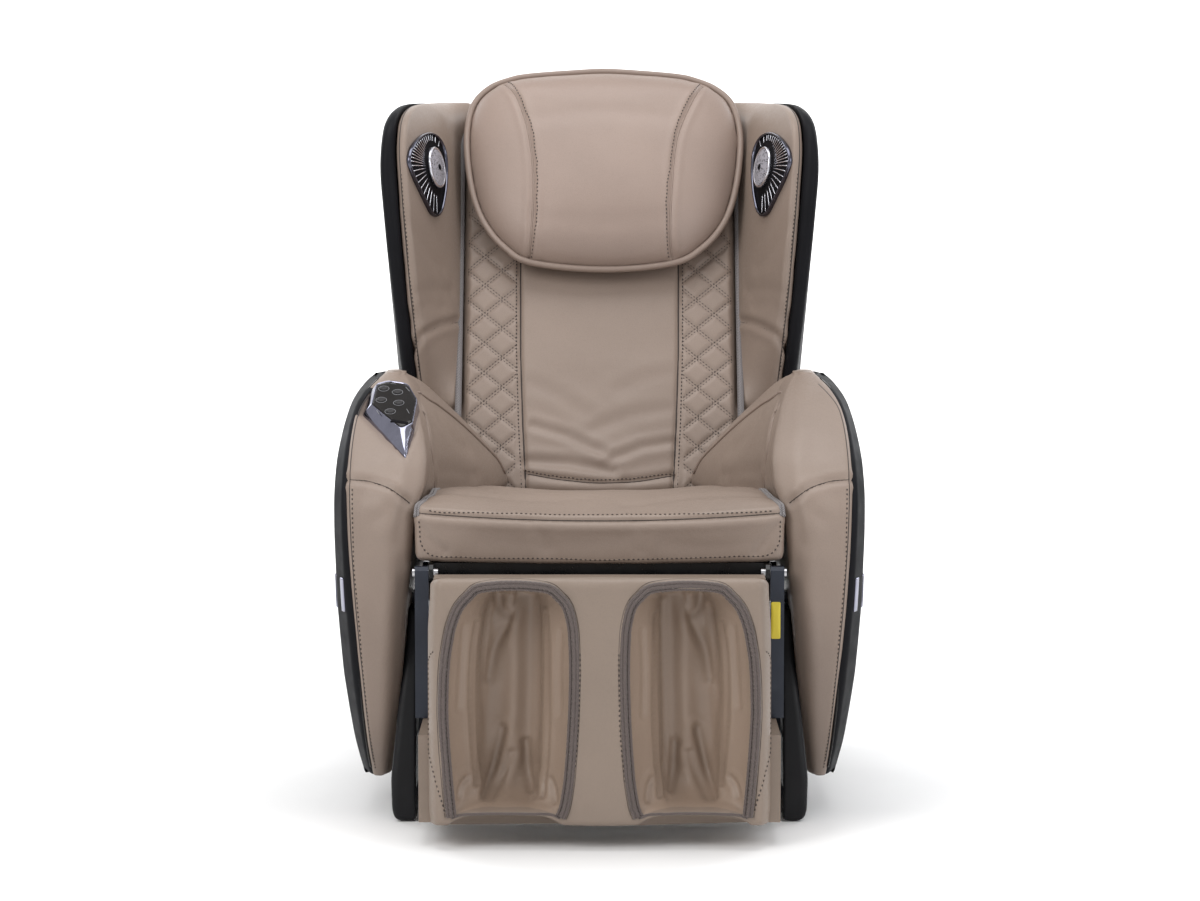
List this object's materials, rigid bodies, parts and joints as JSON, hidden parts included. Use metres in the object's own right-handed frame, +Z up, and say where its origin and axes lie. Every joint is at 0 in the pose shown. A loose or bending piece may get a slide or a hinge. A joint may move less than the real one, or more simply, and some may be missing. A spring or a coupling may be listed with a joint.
{
  "type": "massage chair",
  "caption": "Reclining massage chair with padded wing back, leaf-shaped arms, loose head pillow and a lifting calf rest with leg wells.",
  "frame": {"origin": "on the floor under the middle of the chair's bounding box", "axes": "+Z up, the sitter faces -Y, +X is to the right when the chair is looked at from the front"},
  "size_m": [0.734, 1.1222, 1.0356],
  "materials": {
    "leather": "semi-matte coated leather, taupe",
    "black_shell": "satin moulded",
    "frame_steel": "powder coat, dark blue grey",
    "bare_steel": "turned",
    "guide_steel": "extruded",
    "board": "plywood",
    "rubber": "matte",
    "wheel_plastic": "moulded",
    "drive_plastic": "moulded",
    "chrome": "bright, slightly smoked",
    "gloss_black": "piano gloss",
    "button_plastic": "soft touch",
    "airbag": "coated fabric",
    "calf_case_cover": "coated leather over a moulded case",
    "airbag_calf": "coated fabric"
  },
  "bodies": {
    "base": {"base_rails": "frame_steel", "base_cross_tubes": "frame_steel", "side_posts": "frame_steel", "seat_rails": "frame_steel", "seat_rear_tube": "frame_steel", "seat_front_crossbar": "frame_steel", "calf_pivot_pins": "bare_steel", "recline_pins": "bare_steel", "seat_pan": "board", "seat_cushion": "leather", "foot_covers": "black_shell", "rubber_feet": "rubber", "wheel_axle": "bare_steel", "base_tray": "frame_steel", "control_box": "drive_plastic", "air_pump": "drive_plastic", "rear_skirt": "black_shell", "power_inlet": "drive_plastic", "arm_pad_left": "leather", "arm_pad_right": "leather", "arm_shell_left": "black_shell", "arm_shell_right": "black_shell", "arm_frames": "frame_steel", "arm_air_bags": "airbag", "arm_trims": "chrome", "hip_pads": "leather", "controller_bezel": "chrome", "controller_panel": "gloss_black"},
    "wheel_left": {"wheel_left": "wheel_plastic"},
    "wheel_right": {"wheel_right": "wheel_plastic"},
    "power_switch": {"power_switch": "drive_plastic"},
    "button_power": {"button_power": "button_plastic"},
    "button_program": {"button_program": "button_plastic"},
    "button_recline": {"button_recline": "button_plastic"},
    "button_upright": {"button_upright": "button_plastic"},
    "button_speed": {"button_speed": "button_plastic"},
    "backrest": {"back_side_tubes": "frame_steel", "back_top_tube": "frame_steel", "back_bottom_tube": "frame_steel", "guide_rails": "guide_steel", "back_cushion": "leather", "wing_pad_left": "leather", "wing_pad_right": "leather", "wing_shells": "black_shell", "rear_cover": "black_shell", "speakers": "gloss_black"},
    "head_pillow": {"head_pillow": "leather"},
    "carriage": {"massage_carriage": "frame_steel", "massage_motor": "drive_plastic"},
    "kneading_arms": {"kneading_arms": "bare_steel"},
    "upper_rollers": {"upper_rollers": "rubber"},
    "lower_rollers": {"lower_rollers": "rubber"},
    "calf_rest": {"calf_cushion": "leather", "calf_case": "calf_case_cover", "calf_air_bags": "airbag_calf", "calf_link_arms": "frame_steel"},
    "recline_drive_tube": {"recline_drive_tube": "drive_plastic"},
    "recline_drive_rod": {"recline_drive_rod": "bare_steel"},
    "calf_drive_tube": {"calf_drive_tube": "drive_plastic"},
    "calf_drive_rod": {"calf_drive_rod": "bare_steel"}
  },
  "joints": [
    {"name": "recline", "type": "hinge", "parent": "base", "child": "backrest", "pos_m": [0, 0.14391, 0.33], "axis": [-1, 0, 0], "range_deg": [0, 38]},
    {"name": "calf_lift", "type": "hinge", "parent": "base", "child": "calf_rest", "pos_m": [0, -0.38209, 0.351], "axis": [-1, 0, 0], "range_deg": [0, 75]},
    {"name": "pillow_flip", "type": "hinge", "parent": "backrest", "child": "head_pillow", "pos_m": [0, 0.42328, 1.0173], "axis": [-1, 0, 0], "range_deg": [0, 100]},
    {"name": "carriage_travel", "type": "slide", "parent": "backrest", "child": "carriage", "axis": [0, 0.4695, 0.8829], "range_m": [0, 0.34]},
    {"name": "kneading_tilt", "type": "hinge", "parent": "carriage", "child": "kneading_arms", "pos_m": [0, 0.28484, 0.52688], "axis": [1, 0, 0], "range_deg": [-12, 12]},
    {"name": "upper_roller_spin", "type": "hinge", "parent": "kneading_arms", "child": "upper_rollers", "pos_m": [0, 0.28594, 0.58859], "axis": [1, 0, 0], "continuous": true},
    {"name": "lower_roller_spin", "type": "hinge", "parent": "kneading_arms", "child": "lower_rollers", "pos_m": [0, 0.2343, 0.49147], "axis": [1, 0, 0], "continuous": true},
    {"name": "wheel_left_spin", "type": "hinge", "parent": "base", "child": "wheel_left", "pos_m": [0, 0.27891, 0.025], "axis": [1, 0, 0], "continuous": true},
    {"name": "wheel_right_spin", "type": "hinge", "parent": "base", "child": "wheel_right", "pos_m": [0, 0.27891, 0.025], "axis": [1, 0, 0], "continuous": true},
    {"name": "power_switch_rock", "type": "hinge", "parent": "base", "child": "power_switch", "pos_m": [0, 0.32291, 0.12], "axis": [1, 0, 0], "range_deg": [-7, 7]},
    {"name": "button_power_press", "type": "slide", "parent": "base", "child": "button_power", "axis": [0, 0.4695, -0.8829], "range_m": [0, 0.0015], "stiffness_N_per_m": 400},
    {"name": "button_program_press", "type": "slide", "parent": "base", "child": "button_program", "axis": [0, 0.4695, -0.8829], "range_m": [0, 0.0015], "stiffness_N_per_m": 400},
    {"name": "button_recline_press", "type": "slide", "parent": "base", "child": "button_recline", "axis": [0, 0.4695, -0.8829], "range_m": [0, 0.0015], "stiffness_N_per_m": 400},
    {"name": "button_upright_press", "type": "slide", "parent": "base", "child": "button_upright", "axis": [0, 0.4695, -0.8829], "range_m": [0, 0.0015], "stiffness_N_per_m": 400},
    {"name": "button_speed_press", "type": "slide", "parent": "base", "child": "button_speed", "axis": [0, 0.4695, -0.8829], "range_m": [0, 0.0015], "stiffness_N_per_m": 400},
    {"name": "recline_drive_swing", "type": "hinge", "parent": "base", "child": "recline_drive_tube", "pos_m": [0, 0.19591, 0.08], "axis": [-1, 0, 0], "range_deg": [-1, 13]},
    {"name": "recline_drive_stroke", "type": "slide", "parent": "recline_drive_tube", "child": "recline_drive_rod", "axis": [0, 0.2164, 0.9763], "range_m": [-0.085, 0.002]},
    {"name": "calf_drive_swing", "type": "hinge", "parent": "base", "child": "calf_drive_tube", "pos_m": [0, -0.04609, 0.09], "axis": [-1, 0, 0], "range_deg": [-8, 1]},
    {"name": "calf_drive_stroke", "type": "slide", "parent": "calf_drive_tube", "child": "calf_drive_rod", "axis": [0, -0.813, 0.5823], "range_m": [-0.002, 0.056]}
  ],
  "couplings": [
    {"joint": "recline_drive_swing", "follows": "recline", "ratio": 0.2955},
    {"joint": "recline_drive_stroke", "follows": "recline", "m_per_rad": -0.12431},
    {"joint": "calf_drive_swing", "follows": "calf_lift", "ratio": -0.0825},
    {"joint": "calf_drive_stroke", "follows": "calf_lift", "m_per_rad": 0.0405}
  ]
}
